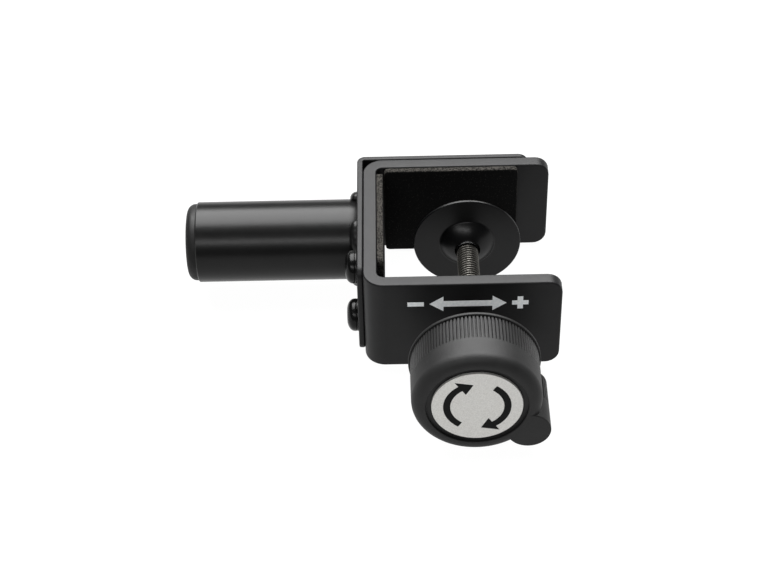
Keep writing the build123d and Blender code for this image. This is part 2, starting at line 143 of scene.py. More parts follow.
room = bpy.data.worlds.new("dim_studio")
room.use_nodes = True
backdrop = room.node_tree.nodes["Background"].inputs
backdrop["Color"].default_value, backdrop["Strength"].default_value = linear("#9a9a9a"), 0.35
bpy.context.scene.world = room

knob_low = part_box("knob_back_plate")[0]
plate_low, plate_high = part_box("mount_plate")
slope = (plate_low.z - knob_low.z) / (plate_high.y - knob_low.y)
FLOOR_REACH = 3.0
corners = []
for x, y in ((-1, -1), (1, -1), (1, 1), (-1, 1)):
    far_y = y * FLOOR_REACH
    corners.append((x * FLOOR_REACH, far_y, knob_low.z + (far_y - knob_low.y) * slope))
sheet = bpy.data.meshes.new("white_floor")
sheet.from_pydata(corners, [], [(0, 1, 2, 3)])
floor = bpy.data.objects.new("white_floor", sheet)
bpy.context.scene.collection.objects.link(floor)
floor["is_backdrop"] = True

lit_sheet = bpy.data.materials.new("lit white acrylic sheet")
lit_sheet.use_nodes = True
shader = lit_sheet.node_tree.nodes["Principled BSDF"].inputs
for key, value in {"Base Color": linear("#2c2c2c"), "Roughness": 0.9,
                   "Emission Color": linear("#ffffff"), "Emission Strength": 0.98}.items():
    shader[key].default_value = value
sheet.materials.append(lit_sheet)
print("the floor tilts by", round(math.degrees(math.atan(slope)), 2), "degrees")

# %% [markdown]
# ## Finishes
# Nearly everything here is black, so the eye tells the parts apart by gloss and grain alone. Each
# finish starts from what the surface really is and how it was made. Patches of slightly different
# colour or roughness break up what would look like flat plastic, and relief comes as bumps a few
# microns high. The plain colour and roughness that each finish starts from are what a viewer
# shows where it can't follow the patches.

# %% Material helpers
def two_colours(tree, share, low, high):
    """Mixes the base colour from low to high by a share that other nodes give."""
    mix = add_node(tree, "ShaderNodeMix", {0: share, 6: linear(low), 7: linear(high)},
                   data_type="RGBA")
    tree.links.new(mix.outputs[2], tree.nodes["Principled BSDF"].inputs["Base Color"])


def new_finish(title, colour, roughness, drifts=(), lumps=(), specular=0.35, **sockets):
    """A material with one Principled shader whose fixed values sit on its own sockets.

    A drift is (socket, low, high, patch width in mm, noise where it starts, noise where it ends).
    A lump is (width, height) in mm. Returns the material, and what more nodes can start from."""
    material = bpy.data.materials.new(title)
    material.use_nodes = True
    tree = material.node_tree
    tree.nodes.clear()
    surface = add_node(tree, "ShaderNodeBsdfPrincipled",
                       {"Base Color": linear(colour), "Roughness": roughness,
                        "Specular IOR Level": specular, **sockets})
    add_node(tree, "ShaderNodeOutputMaterial", {"Surface": surface.outputs["BSDF"]})
    place = add_node(tree, "ShaderNodeTexCoord").outputs["Object"]
    for socket, low, high, width, *ends in drifts:
        start, end = ends or (0.35, 0.65)
        patches = add_node(tree, "ShaderNodeTexNoise",
                           {"Vector": place, "Scale": 1 / (width * MM), "Detail": 3.0})
        spread = add_node(tree, "ShaderNodeMapRange",
                          {"Value": patches.outputs["Fac"], "From Min": start, "From Max": end})
        if socket == "Base Color":
            two_colours(tree, spread.outputs["Result"], low, high)
        else:
            spread.inputs["To Min"].default_value = low
            spread.inputs["To Max"].default_value = high
            tree.links.new(spread.outputs["Result"], surface.inputs[socket])
    normal = None
    for width, height in lumps:
        grain = add_node(tree, "ShaderNodeTexNoise",
                         {"Vector": place, "Scale": 1 / (width * MM), "Detail": 2.0})
        bump = add_node(tree, "ShaderNodeBump",
                        {"Height": grain.outputs["Fac"], "Distance": height * MM})
        if normal:
            tree.links.new(normal, bump.inputs["Normal"])
        normal = bump.outputs["Normal"]
    tree.links.new(normal, surface.inputs["Normal"])
    return material, tree, place


def plain_finish(*recipe, **sockets):
    """A finish that needs no more nodes than its patches and relief."""
    return new_finish(*recipe, **sockets)[0]


# %% [markdown]
# ### Powder coats
# The bracket, the plate, the tube and the foot are steel with a baked powder coat. Polyester
# powder melts into a skin with faint orange peel, lumps about a millimetre wide and microns high,
# which breaks up highlights without looking rough. The bracket has the most matt coat, and the
# tube and the foot are a little glossier. The grain of the powder itself is too fine to show, so
# it is left to the roughness.

# %% Powder coats
def powder_coat(title, colour, deeper, roughness, peel):
    """Baked powder whose orange peel is that many mm high."""
    drifts = [("Base Color", deeper, colour, 9.0),
              ("Roughness", roughness - 0.02, roughness + 0.02, 2.0, 0.2, 0.8)]
    lumps = [(1.3, peel), (0.35, peel * 0.25)]
    return plain_finish(title, colour, roughness, drifts, lumps, IOR=1.45)


satin_coat = powder_coat("satin black powder coat on bent steel", "#131314", "#0f0f10", 0.46, 0.010)
tube_coat = powder_coat("semi gloss black powder coat on tube", "#0e0e0e", "#0b0b0b", 0.31, 0.008)
disc_coat = powder_coat("satin black powder coat on pressed steel", "#0d0d0e", "#0a0a0b",
                        0.31, 0.006)
weld_coat = powder_coat("black powder coat over weld bead", "#0f0f0f", "#0c0c0c", 0.36, 0.012)

# %% [markdown]
# ### Metals
# Screws are dipped in black oxide, which leaves dark bare-looking steel with a metallic glint. It
# has rubbed off the crests of the thread, so the thread's own tree stores how near each point is
# to a crest, and the colour follows that: the crests are painted much lighter, partly as that wear
# and partly as a painted highlight where the crests catch the light. The button heads are plated
# glossy black. The nuts stay bright zinc, with the cloudy patches that a barrel-plated part has.
# Metals keep the default index of refraction.

# %% Metal finishes
black_oxide, tree, place = new_finish(
    "black oxide on rolled steel thread", "#141413", 0.34,
    [("Roughness", 0.26, 0.42, 2.0)], [(0.5, 0.004)], Metallic=0.7)
# Crests painted light: partly rubbed-off oxide, partly a painted highlight along each crest.
crest_wear_and_highlight = add_node(tree, "ShaderNodeAttribute", attribute_name="crest")
two_colours(tree, crest_wear_and_highlight.outputs["Fac"], "#0b0b0a", "#64625e")

gloss_black = plain_finish(
    "glossy black plating on screw heads", "#0a0a0a", 0.24,
    [("Roughness", 0.20, 0.30, 2.5)], [(1.0, 0.004)], IOR=1.4)

zinc_steel = plain_finish(
    "barrel plated zinc on cold formed steel", "#b4b6b8", 0.32,
    [("Base Color", "#9fa2a5", "#c2c4c6", 4.0), ("Roughness", 0.26, 0.42, 2.0)],
    [(0.6, 0.004)], Metallic=1.0)

# %% [markdown]
# ### Plastics
# The knob is injection moulded against a spark-eroded mould, so it has a fine even grain that
# scatters light and makes the black look grey where it faces the lamp. The tube's plug is softer
# polyethylene with a waxy skin, and the ball's seat is black nylon.

# %% Plastic finishes
moulded_black = plain_finish(
    "spark textured black moulded plastic", "#1e1e1e", 0.54,
    [("Base Color", "#1b1b1b", "#212121", 6.0)], [(0.6, 0.05), (0.25, 0.02)], IOR=1.49)

waxy_black = plain_finish(
    "moulded black polyethylene plug", "#0e0e0e", 0.55,
    [("Roughness", 0.50, 0.62, 3.0)], [(0.9, 0.008), (0.3, 0.004)], IOR=1.5)

black_nylon = plain_finish(
    "moulded black nylon", "#141414", 0.46,
    [("Base Color", "#101010", "#181818", 3.0)], [(0.6, 0.004)], IOR=1.53)

# %% [markdown]
# ### Foam, silver and ink
# The pads are closed-cell foam. Its skin drinks light and shows only fine pale specks, and its
# cut edge shows opened cells, grey-brown and pitted. The inlay is a metallised plastic disc with
# fine sparkle, and the marks are pad-printed ink, a thin film that covers a little unevenly.

# %% Foam, silver and ink finishes
def foam_finish(title, colour, roughness, lumps, cell, wall, inside, outside):
    """Foam whose cells, that many mm apart, go from one colour to another across their walls."""
    material, tree, place = new_finish(title, colour, roughness, (), lumps, specular=0.2, IOR=1.4)
    cells = add_node(tree, "ShaderNodeTexVoronoi", {"Vector": place, "Scale": 1 / (cell * MM)})
    walls = add_node(tree, "ShaderNodeMapRange",
                     {"Value": cells.outputs["Distance"], "From Min": wall[0], "From Max": wall[1]})
    two_colours(tree, walls.outputs["Result"], inside, outside)
    return material


foam_skin = foam_finish("closed cell foam with its skin", "#0d0d0d", 0.92,
                        [(0.7, 0.05), (0.25, 0.02)], 0.8, (0.10, 0.22), "#363432", "#0c0c0c")
foam_cut = foam_finish("closed cell foam cut by a knife", "#3a3936", 0.95,
                       [(0.5, 0.12)], 0.55, (0.34, 0.62), "#0b0b0a", "#3c3a37")

satin_silver = plain_finish(
    "satin metallised plastic", "#cfceca", 0.48,
    [("Base Color", "#c4c3bf", "#dad9d6", 0.35, 0.3, 0.7), ("Roughness", 0.38, 0.56, 0.3)],
    [(0.3, 0.004)], Metallic=0.35, IOR=1.5)

white_ink = plain_finish(
    "pad printed white ink", "#f2f5f6", 0.55,
    [("Base Color", "#eaeef0", "#fafcfc", 1.2)], [(0.4, 0.003)], IOR=1.5)

black_ink = plain_finish(
    "pad printed black ink", "#101010", 0.5,
    [("Base Color", "#060606", "#0d0d0d", 1.2)], [(0.4, 0.003)], specular=0.12, IOR=1.5)
print("finishes made:", len(bpy.data.materials))

# %% [markdown]
# ## Shape helpers
# Three ways of making things cover this clamp, and they are the workshop's own: turning a profile
# on a lathe, cutting a blank from flat bar, and running a Geometry Nodes tree over a start mesh.

# %% Pieces and smooth shading
def box_mm(node):
    """A CAD part's lowest and highest corners at rest, in mm."""
    return [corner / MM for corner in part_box(node)]


def add_piece(name, mesh, *materials):
    """An object for a mesh, at the origin, with its materials."""
    mesh.name = name
    piece = bpy.data.objects.new(name, mesh)
    bpy.context.scene.collection.objects.link(piece)
    for material in materials:
        mesh.materials.append(material)
    return piece


def baked(piece):
    """The piece with its modifiers worked into a plain mesh."""
    shown = piece.evaluated_get(bpy.context.evaluated_depsgraph_get())
    mesh = bpy.data.meshes.new_from_object(shown)
    piece.modifiers.clear()
    piece.data = mesh
    mesh.name = piece.name
    return piece


def shade(piece, degrees=30.0, weighted=True):
    """Smooth shading that breaks at edges sharper than that, with flat faces kept flat."""
    piece.data.shade_smooth()
    piece.data.set_sharp_from_angle(angle=math.radians(degrees))
    if weighted:
        even = piece.modifiers.new("even_normals", "WEIGHTED_NORMAL")
        even.keep_sharp = True
        baked(piece)
    return piece


def tell(piece):
    """Prints a piece's size in mm and its face count."""
    size = [round(side / MM, 2) for side in piece.dimensions]
    print(f"{piece.name}: {size} mm, {len(piece.data.polygons)} faces")
    return piece


def taken(piece):
    """The mesh of a helper object, which is then thrown away."""
    mesh = piece.data
    bpy.data.objects.remove(piece)
    return mesh


def shifted(mesh, place, *turns):
    """The mesh turned or stretched by matrices, then moved to a place in mm."""
    matrix = Matrix.Translation(Vector(place) * MM)
    for turn in turns:
        matrix = matrix @ turn
    mesh.transform(matrix)
    return mesh


def stands_for(piece, node, body):
    """Hides a CAD part, puts the new piece on its body, and prints the new piece's size."""
    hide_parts(node)
    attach(piece, body)
    return tell(piece)


# %% [markdown]
# ### Turning on a lathe
# A turned part is a list of corners, radius and place along its axis, each with its own rounding.
# `rounded` puts the arcs in and `turned` spins the line. A point on the axis becomes one shared
# vertex, so the poles are closed, and a line that returns to its start makes a closed ring.

# %% Rounded outlines and turned meshes
def rounded(corners, closed=False, steps=5):
    """Corners given as (a, b, radius) to a line of points with those arcs in it."""
    line = []
    for index, (a, b, radius) in enumerate(corners):
        here = Vector((a, b))
        at_end = not closed and index in (0, len(corners) - 1)
        if radius == 0 or at_end:
            line.append(here)
            continue
        to_last = (Vector(corners[index - 1][:2]) - here).normalized()
        to_next = (Vector(corners[(index + 1) % len(corners)][:2]) - here).normalized()
        half = to_last.angle(to_next) / 2
        centre = here + (to_last + to_next).normalized() * (radius / math.sin(half))
        start = here + to_last * (radius / math.tan(half)) - centre
        end = here + to_next * (radius / math.tan(half)) - centre
        sweep = math.atan2(start.x * end.y - start.y * end.x, start.dot(end))
        for step in range(steps + 1):
            line.append(centre + Matrix.Rotation(sweep * step / steps, 2) @ start)
    return line


def turned(line, around, centre, axis="Y", closed=False):
    """Spins (radius, along) points about a line through centre that runs along Y or X."""
    points, rings, faces = [], [], []
    for radius, along in line:
        if radius == 0:
            rings.append([len(points)] * around)
            points.append(Vector((0, along, 0)))
            continue
        rings.append(list(range(len(points), len(points) + around)))
        for step in range(around):
            angle = math.tau * step / around
            points.append(Vector((radius * math.sin(angle), along, radius * math.cos(angle))))
    pairs = list(zip(rings, rings[1:]))
    if closed:
        pairs.append((rings[-1], rings[0]))
    for low, high in pairs:
        for step in range(around):
            following = (step + 1) % around
            face = [low[step], low[following], high[following], high[step]]
            face = list(dict.fromkeys(face))
            if len(face) > 2:
                faces.append(face)
    if axis == "X":
        points = [Vector((p.y, p.x, -p.z)) for p in points]
    mesh = bpy.data.meshes.new("turned")
    mesh.from_pydata([(p + Vector(centre)) * MM for p in points], [], faces)
    form = bmesh.new()
    form.from_mesh(mesh)
    bmesh.ops.recalc_face_normals(form, faces=form.faces)
    form.to_mesh(mesh)
    form.free()
    return mesh


# %% [markdown]
# ### Cutting a blank
# Bar, sheet and foam all start as a flat slab with rounded corners. The slab is a stack of rounded
# rectangles, each inset a little near the top and bottom, which rounds its edges. Cuts across it
# add the extra edges that a bend or a soft surface needs.

# %% Slabs and cuts
def slab(length, width, thick, corner, edge, rows=1, steps=6):
    """A flat slab in mm: x from 0 to length, y and z centred, with rounded corners and edges."""
    levels = []
    for step in range(steps // 2 + 1):
        lean = math.pi / 2 * step / (steps // 2)
        levels.append((edge * (1 - math.sin(lean)), -thick / 2 + edge * (1 - math.cos(lean))))
    straight = thick - 2 * edge
    inside = [(0.0, -thick / 2 + edge + straight * row / rows) for row in range(1, rows)]
    levels += inside + [(inset, -z) for inset, z in reversed(levels)]
    form = bmesh.new()
    rings = []
    for inset, z in levels:
        ring = []
        radius = corner - inset
        quarter = [(length - corner, width / 2 - corner), (corner, width / 2 - corner),
                   (corner, corner - width / 2), (length - corner, corner - width / 2)]
        for number, (x, y) in enumerate(quarter):
            for step in range(steps + 1):
                angle = math.pi / 2 * (number + step / steps)
                spot = (x + radius * math.cos(angle), y + radius * math.sin(angle), z)
                ring.append(form.verts.new(Vector(spot) * MM))
        rings.append(ring)
    count = len(rings[0])
    for low, high in zip(rings, rings[1:]):
        for step in range(count):
            following = (step + 1) % count
            form.faces.new((low[step], low[following], high[following], high[step]))
    form.faces.new(list(reversed(rings[0])))
    form.faces.new(rings[-1])
    return form


def cut_across(form, direction, places):
    """Cuts edges through the whole form at those places in mm along a direction."""
    for place in places:
        everything = form.verts[:] + form.edges[:] + form.faces[:]
        spot = Vector(direction) * place * MM
        bmesh.ops.bisect_plane(form, geom=everything, dist=1e-7, plane_co=spot,
                               plane_no=direction)


def mesh_of(form):
    """Finishes a bmesh: doubles merged, faces pointing outwards."""
    bmesh.ops.remove_doubles(form, verts=form.verts, dist=1e-7)
    bmesh.ops.recalc_face_normals(form, faces=form.faces)
    mesh = bpy.data.meshes.new("form")
    form.to_mesh(mesh)
    form.free()
    return mesh


def combined(piece, tool_mesh, operation):
    """Cuts or joins another closed mesh with an exact boolean."""
    tool = add_piece("tool", tool_mesh)
    change = piece.modifiers.new("change", "BOOLEAN")
    change.operation, change.solver, change.object = operation, "EXACT", tool
    baked(piece)
    bpy.data.objects.remove(tool)
    return piece


def evened(piece):
    """Splits the many-sided faces a boolean leaves, with no sliver among the triangles."""
    form = bmesh.new()
    form.from_mesh(piece.data)
    bmesh.ops.dissolve_degenerate(form, dist=1e-6, edges=form.edges)
    many_sided = [face for face in form.faces if len(face.verts) > 4]
    bmesh.ops.triangulate(form, faces=many_sided, ngon_method="BEAUTY")
    form.to_mesh(piece.data)
    form.free()
    return piece


# %% [markdown]
# ### Running a Geometry Nodes tree
# Each tree below has named inputs for its sizes. `new_tree` makes the tree and its sockets, and
# `grown` puts it on a start mesh, fills the inputs by their identifiers before Blender evaluates
# anything, and keeps the result as a plain mesh. The end of every tree is the same: instances made
# real, then the material.

# %% Tree helpers
KINDS = {"FLOAT": "NodeSocketFloat", "INT": "NodeSocketInt", "VECTOR": "NodeSocketVector",
         "OBJECT": "NodeSocketObject", "MATERIAL": "NodeSocketMaterial"}


def new_tree(title, **sizes):
    """An empty tree with a geometry input, these named inputs, and a Finish material input."""
    tree = bpy.data.node_groups.new(title, "GeometryNodeTree")
    tree.is_modifier = True
    sockets = tree.interface
    sockets.new_socket("Start", in_out="INPUT", socket_type="NodeSocketGeometry")
    for size, kind in {**sizes, "Finish": "MATERIAL"}.items():
        sockets.new_socket(size, in_out="INPUT", socket_type=KINDS[kind])
    sockets.new_socket("Piece", in_out="OUTPUT", socket_type="NodeSocketGeometry")
    return tree, add_node(tree, "NodeGroupInput").outputs


def end_tree(tree, geometry, finish):
    """Instances made real, the material set, and the output."""
    real = add_node(tree, "GeometryNodeRealizeInstances", {"Geometry": geometry})
    painted = add_node(tree, "GeometryNodeSetMaterial",
                       {"Geometry": real.outputs["Geometry"], "Material": finish})
    add_node(tree, "NodeGroupOutput", {"Piece": painted.outputs["Geometry"]})


def grown(name, tree, start, **sizes):
    """Runs a tree over a start mesh and returns the result as a plain piece."""
    piece = add_piece(name, start)
    growth = piece.modifiers.new("growth", "NODES")
    growth.node_group = tree
    for socket in tree.interface.items_tree:
        if socket.in_out == "INPUT" and socket.name in sizes:
            growth[socket.identifier] = sizes[socket.name]
    return baked(piece)


def maths(tree, operation, *values):
    """One step of arithmetic inside a tree."""
    inputs = dict(enumerate(values))
    return add_node(tree, "ShaderNodeMath", inputs, operation=operation).outputs[0]


def vectors(tree, operation, *values, **scale):
    """One step of vector arithmetic inside a tree."""
    inputs = {**dict(enumerate(values)), **scale}
    node = add_node(tree, "ShaderNodeVectorMath", inputs, operation=operation)
    return node.outputs["Value" if operation == "LENGTH" else "Vector"]


def positions(tree):
    """Where each point is."""
    return add_node(tree, "GeometryNodeInputPosition").outputs["Position"]


# %% [markdown]
# ## The bracket: one flat bar, bent
# The real bracket is 39 by 5 mm steel bar, cut, drilled while flat, then folded twice in a press
# brake. Modelling the final C by hand would mean placing every rounded edge twice. Here the same
# order is followed: a flat blank with its holes, then a tree that lays the blank along a
# centreline. Length along the blank becomes length along the curve, and height above the blank's
# middle becomes distance from the curve. The mount plate behind it is a thinner sheet with one
# fold, so the same tree makes both.

# %% The bending tree
bending, sizes = new_tree("lay a flat blank along a centreline",
                          Centreline="OBJECT", Bend_radius="FLOAT", Bend_steps="INT")
path = add_node(bending, "GeometryNodeObjectInfo", {"Object": sizes["Centreline"]})
arcs = add_node(bending, "GeometryNodeFilletCurve",
                {"Curve": path.outputs["Geometry"], "Radius": sizes["Bend_radius"],
                 "Count": sizes["Bend_steps"]}, mode="POLY")
flat = add_node(bending, "ShaderNodeSeparateXYZ", {"Vector": positions(bending)})
spot = add_node(bending, "GeometryNodeSampleCurve",
                {"Curves": arcs.outputs["Curve"], "Length": flat.outputs["X"]}, mode="LENGTH")
vector = partial(vectors, bending)
inward = vector("NORMALIZE", vector("CROSS_PRODUCT", spot.outputs["Tangent"], (0.0, 0.0, 1.0)))
height = vector("SCALE", inward, Scale=flat.outputs["Z"])
across = add_node(bending, "ShaderNodeCombineXYZ", {"Z": flat.outputs["Y"]})
landed = vector("ADD", spot.outputs["Position"], vector("ADD", height, across.outputs["Vector"]))
bent = add_node(bending, "GeometryNodeSetPosition",
                {"Geometry": sizes["Start"], "Position": landed})
end_tree(bending, bent.outputs["Geometry"], sizes["Finish"])

# %% [markdown]
# The blank's flat length is the centreline's length: the straight runs less what each arc cuts
# off a corner. Cuts go through the blank at every step of each arc, so the bend has edges exactly
# where the curve has points.

# %% Bending helper
BEND_STEPS = 20
ARC_SAVING = 2 - math.pi / 2


def bent_bar(name, corners, width, thick, inner_radius, corner, edge, holes):
    """A bar or sheet folded along corners, with (distance along, place across, radius) holes."""
    radius = inner_radius + thick / 2
    line = bpy.data.curves.new("centreline", "CURVE")
    line.dimensions = "3D"
    spline = line.splines.new("POLY")
    spline.points.add(len(corners) - 1)
    for point, place in zip(spline.points, corners):
        point.co = (*(Vector(place) * MM), 1.0)
    centreline = bpy.data.objects.new("centreline", line)
    bpy.context.scene.collection.objects.link(centreline)
    runs = [(Vector(b) - Vector(a)).length for a, b in zip(corners, corners[1:])]
    length = sum(runs) - radius * ARC_SAVING * (len(runs) - 1)
    blank = add_piece("blank", mesh_of(slab(length, width, thick, corner, edge)))
    for along, place, hole in holes:
        drill = [(0, -thick, 0), (hole, -thick, 0), (hole, thick, 0), (0, thick, 0)]
        upright = Matrix.Rotation(math.pi / 2, 4, "X")
        tool = turned(rounded(drill), HOLE_SIDES, (0, 0, 0))
        combined(blank, shifted(tool, (along, place, 0), upright), "DIFFERENCE")
    form = bmesh.new()
    form.from_mesh(taken(blank))
    place, arc = 0.0, radius * math.pi / 2
    for run in runs[:-1]:
        place += run - radius * (1 if place == 0 else 2)
        cuts = [place + arc * step / BEND_STEPS for step in range(BEND_STEPS + 1)]
        cut_across(form, (1, 0, 0), cuts)
        place += arc
    piece = grown(name, bending, mesh_of(form), Centreline=centreline,
                  Bend_radius=radius * MM, Bend_steps=BEND_STEPS, Finish=satin_coat)
    bpy.data.objects.remove(centreline)
    print(name, "blank is", round(length, 2), "mm long")
    return shade(piece)


# %% The bracket
BAR_THICK, BAR_INNER_RADIUS, BAR_CORNER, BAR_EDGE = 5.0, 2.5, 5.2, 0.7
CLAMP_HOLE, WEB_HOLE, HOLE_SIDES = 4.5, 3.06, 40
low, high = box_mm("clamp_bracket")
screw_x = sum(corner.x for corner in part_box("neck_washer")) / 2 / MM
screw_low, screw_high = box_mm("mount_washers")
mount_y = (screw_low.y + screw_high.y) / 2
mount_z = (screw_high.z - screw_low.z) / 2 - (screw_high.y - screw_low.y) / 2
half = BAR_THICK / 2
web_x, screw_jaw_y, fixed_jaw_y = low.x + half, low.y + half, high.y - half
bar_radius = BAR_INNER_RADIUS + half
jaw_run = high.x - web_x - bar_radius
web_hole = jaw_run + bar_radius * math.pi / 2 + mount_y - screw_jaw_y - bar_radius
bracket = bent_bar(
    "bent_bracket", [(high.x, screw_jaw_y, 0), (web_x, screw_jaw_y, 0),
                     (web_x, fixed_jaw_y, 0), (high.x, fixed_jaw_y, 0)],
    high.z - low.z, BAR_THICK, BAR_INNER_RADIUS, BAR_CORNER, BAR_EDGE,
    [(high.x - screw_x, 0, CLAMP_HOLE)] + [(web_hole, z, WEB_HOLE) for z in (mount_z, -mount_z)])
stands_for(bracket, "clamp_bracket", "clamp_frame")

# %% The mount plate
SHEET_THICK, SHEET_INNER_RADIUS, SHEET_CORNER, SHEET_EDGE, SHEET_HOLE = 2.2, 0.8, 4.0, 0.6, 3.25
low, high = box_mm("mount_plate")
half = SHEET_THICK / 2
sheet_radius = SHEET_INNER_RADIUS + half
back_x, leg_y = low.x + half, high.y - half
leg_run = high.x - back_x - sheet_radius
plate_hole = leg_run + sheet_radius * math.pi / 2 + leg_y - sheet_radius - mount_y
plate = bent_bar(
    "folded_mount_plate", [(high.x, leg_y, 0), (back_x, leg_y, 0), (back_x, low.y, 0)],
    high.z - low.z, SHEET_THICK, SHEET_INNER_RADIUS, SHEET_CORNER, SHEET_EDGE,
    [(plate_hole, z, SHEET_HOLE) for z in (mount_z, -mount_z)])
stands_for(plate, "mount_plate", "clamp_frame")

# %% [markdown]
# ## Weld beads
# The tube is tacked to the plate with four short stitches, and the nut with two. A bead is a row
# of frozen puddles, so it swells and narrows a few times and is rounded off at both ends. The
# tree turns a path into a curve, gives it a radius that ripples along its length, and sweeps a
# circle along it.

# %% The welding tree
welding, sizes = new_tree("weld bead along a path",
                          Bead_radius="FLOAT", Ripples="FLOAT", Ripple_share="FLOAT")
run = add_node(welding, "GeometryNodeMeshToCurve", {"Mesh": sizes["Start"]})
fine = add_node(welding, "GeometryNodeResampleCurve", {"Curve": run.outputs["Curve"], "Count": 64})
along = add_node(welding, "GeometryNodeSplineParameter").outputs["Factor"]
value = partial(maths, welding)
waves = value("MULTIPLY", value("MULTIPLY", along, sizes["Ripples"]), math.pi)
puddle = value("ABSOLUTE", value("SINE", waves))
ripple = value("ADD", value("MULTIPLY", puddle, sizes["Ripple_share"]), 1.0)
# The dome is one at the middle and nothing at both ends, and a small power makes it steep there.
dome = value("MULTIPLY", value("MULTIPLY", along, value("SUBTRACT", 1.0, along)), 4.0)
ends = value("POWER", value("MAXIMUM", dome, 0.002), 0.28)
radius = value("MULTIPLY", value("MULTIPLY", ripple, ends), sizes["Bead_radius"])
# The sweep scales the section at each point, so the section's own radius is one metre.
section = add_node(welding, "GeometryNodeCurvePrimitiveCircle", {"Resolution": 20, "Radius": 1.0})
swept = add_node(welding, "GeometryNodeCurveToMesh",
                 {"Curve": fine.outputs[0], "Profile Curve": section.outputs["Curve"],
                  "Scale": radius, "Fill Caps": True})
end_tree(welding, swept.outputs["Mesh"], sizes["Finish"])

# %% [markdown]
# ### Copies in a row or a ring
# The four stitches, the screws and the printed arrows all repeat one shape. One small tree does
# it: copy number n is moved by n steps and turned by n turns about the origin.

# %% The repeating tree
repeating, sizes = new_tree("copies in a row or a ring", Count="INT", Step="VECTOR", Turn="VECTOR")
points = add_node(repeating, "GeometryNodePoints", {"Count": sizes["Count"]})
number = add_node(repeating, "GeometryNodeInputIndex").outputs[0]
vector = partial(vectors, repeating)
shift = vector("SCALE", sizes["Step"], Scale=number)
spin = vector("SCALE", sizes["Turn"], Scale=number)
spots = add_node(repeating, "GeometryNodeSetPosition",
                 {"Geometry": points.outputs[0], "Position": shift})
copies = add_node(repeating, "GeometryNodeInstanceOnPoints",
                  {"Points": spots.outputs["Geometry"], "Instance": sizes["Start"],
                   "Rotation": spin})
end_tree(repeating, copies.outputs["Instances"], sizes["Finish"])


# %% Weld beads on the tube and on the nut
def stitch(places, bead, ripples, share):
    """The mesh of one weld bead along places in mm."""
    path = bpy.data.meshes.new("path")
    links = [(i, i + 1) for i in range(len(places) - 1)]
    path.from_pydata([Vector(place) * MM for place in places], links, [])
    return taken(grown("stitch", welding, path, Bead_radius=bead * MM, Ripples=ripples,
                       Ripple_share=share, Finish=weld_coat))


TUBE_RADIUS, STITCHES, STITCH_DEG, STITCH_STEPS, STITCH_OUT = 15.0, 4, 42.0, 24, 0.3
plate_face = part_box("mount_plate")[0].x / MM
reach = TUBE_RADIUS + STITCH_OUT
places = []
for step in range(STITCH_STEPS + 1):
    angle = math.radians(45 + STITCH_DEG * (step / STITCH_STEPS - 0.5))
    places.append((plate_face - STITCH_OUT, reach * math.cos(angle), reach * math.sin(angle)))
tube_welds = grown("tube_weld_stitches", repeating, stitch(places, 2.4, 3.0, 0.05), Count=STITCHES,
                   Turn=(math.tau / STITCHES, 0, 0), Finish=weld_coat)
stands_for(shade(tube_welds, 60, weighted=False), "tube_weld_beads", "clamp_frame")

NUT_FLATS, BEAD_OUT = 13.0, 0.45
jaw_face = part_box("screw_nut")[0].y / MM
bead_y, bead_z = jaw_face + BEAD_OUT, NUT_FLATS / 2 + BEAD_OUT
places = [(step - 3.4, bead_y, bead_z) for step in (0, 1.7, 3.4, 5.1, 6.8)]
nut_welds = grown("nut_weld_stitches", repeating, stitch(places, 1.3, 6.0, 0.12), Count=2,
                  Turn=(0, math.pi, 0), Finish=weld_coat)
shifted(nut_welds.data, (screw_x, 0, 0))
stands_for(shade(nut_welds, 60, weighted=False), "nut_weld_beads", "clamp_frame")

# %% [markdown]
# ## Button-head screws and washers
# Two M6 button-head screws hold the plate to the web. A head is turned from a domed profile and
# has a hexagon socket pressed into it, and the washer under it is a plain ring with a softened
# rim. One of each is made, then the repeating tree sets both pairs across the plate.

# %% One screw, one washer, two places
HEAD_RADIUS, HEAD_HIGH, THREAD_RADIUS, SOCKET_FLATS, SOCKET_DEEP = 6.0, 3.4, 3.0, 4.0, 2.0
DOME_FROM, DOME_SWEEP, DOME_STEPS, DOME_START, DOME_WIDE, DOME_HIGH = 14, 66, 6, 2.0, 4.0, 2.75
FLAT_RADIUS, DOME_GAP, RIM_HIGH, CHAMFER = 2.9, 0.7, 0.45, 0.5
head_low, head_high = box_mm("mount_screws")
seat_x = head_low.x + HEAD_HIGH
crown = [(0, head_low.x, 0), (FLAT_RADIUS, head_low.x, 0.5)]
for step in range(DOME_STEPS + 1):
    lean = math.radians(DOME_FROM + DOME_SWEEP * step / DOME_STEPS)
    crown.append((DOME_START + DOME_WIDE * math.sin(lean),
                  seat_x - DOME_GAP - DOME_HIGH * math.cos(lean), 0))
crown += [(HEAD_RADIUS, seat_x - RIM_HIGH, 0.2), (HEAD_RADIUS, seat_x, 0.15)]
crown += [(THREAD_RADIUS, seat_x, 0), (THREAD_RADIUS, head_high.x - CHAMFER, 0)]
crown += [(THREAD_RADIUS - CHAMFER, head_high.x, 0), (0, head_high.x, 0)]
first = (0, mount_y, -mount_z)
screw = add_piece("screw", turned(rounded(crown), 48, first, "X"))
wrench = turned([(0, -1), (1, -1), (1, SOCKET_DEEP), (0, SOCKET_DEEP + 0.6)], 6, (0, 0, 0), "X")
flats = SOCKET_FLATS / math.sqrt(3)
shifted(wrench, (head_low.x, mount_y, -mount_z), Matrix.Diagonal((1, flats, flats, 1)))
screw = shade(evened(combined(screw, wrench, "DIFFERENCE")), 38)

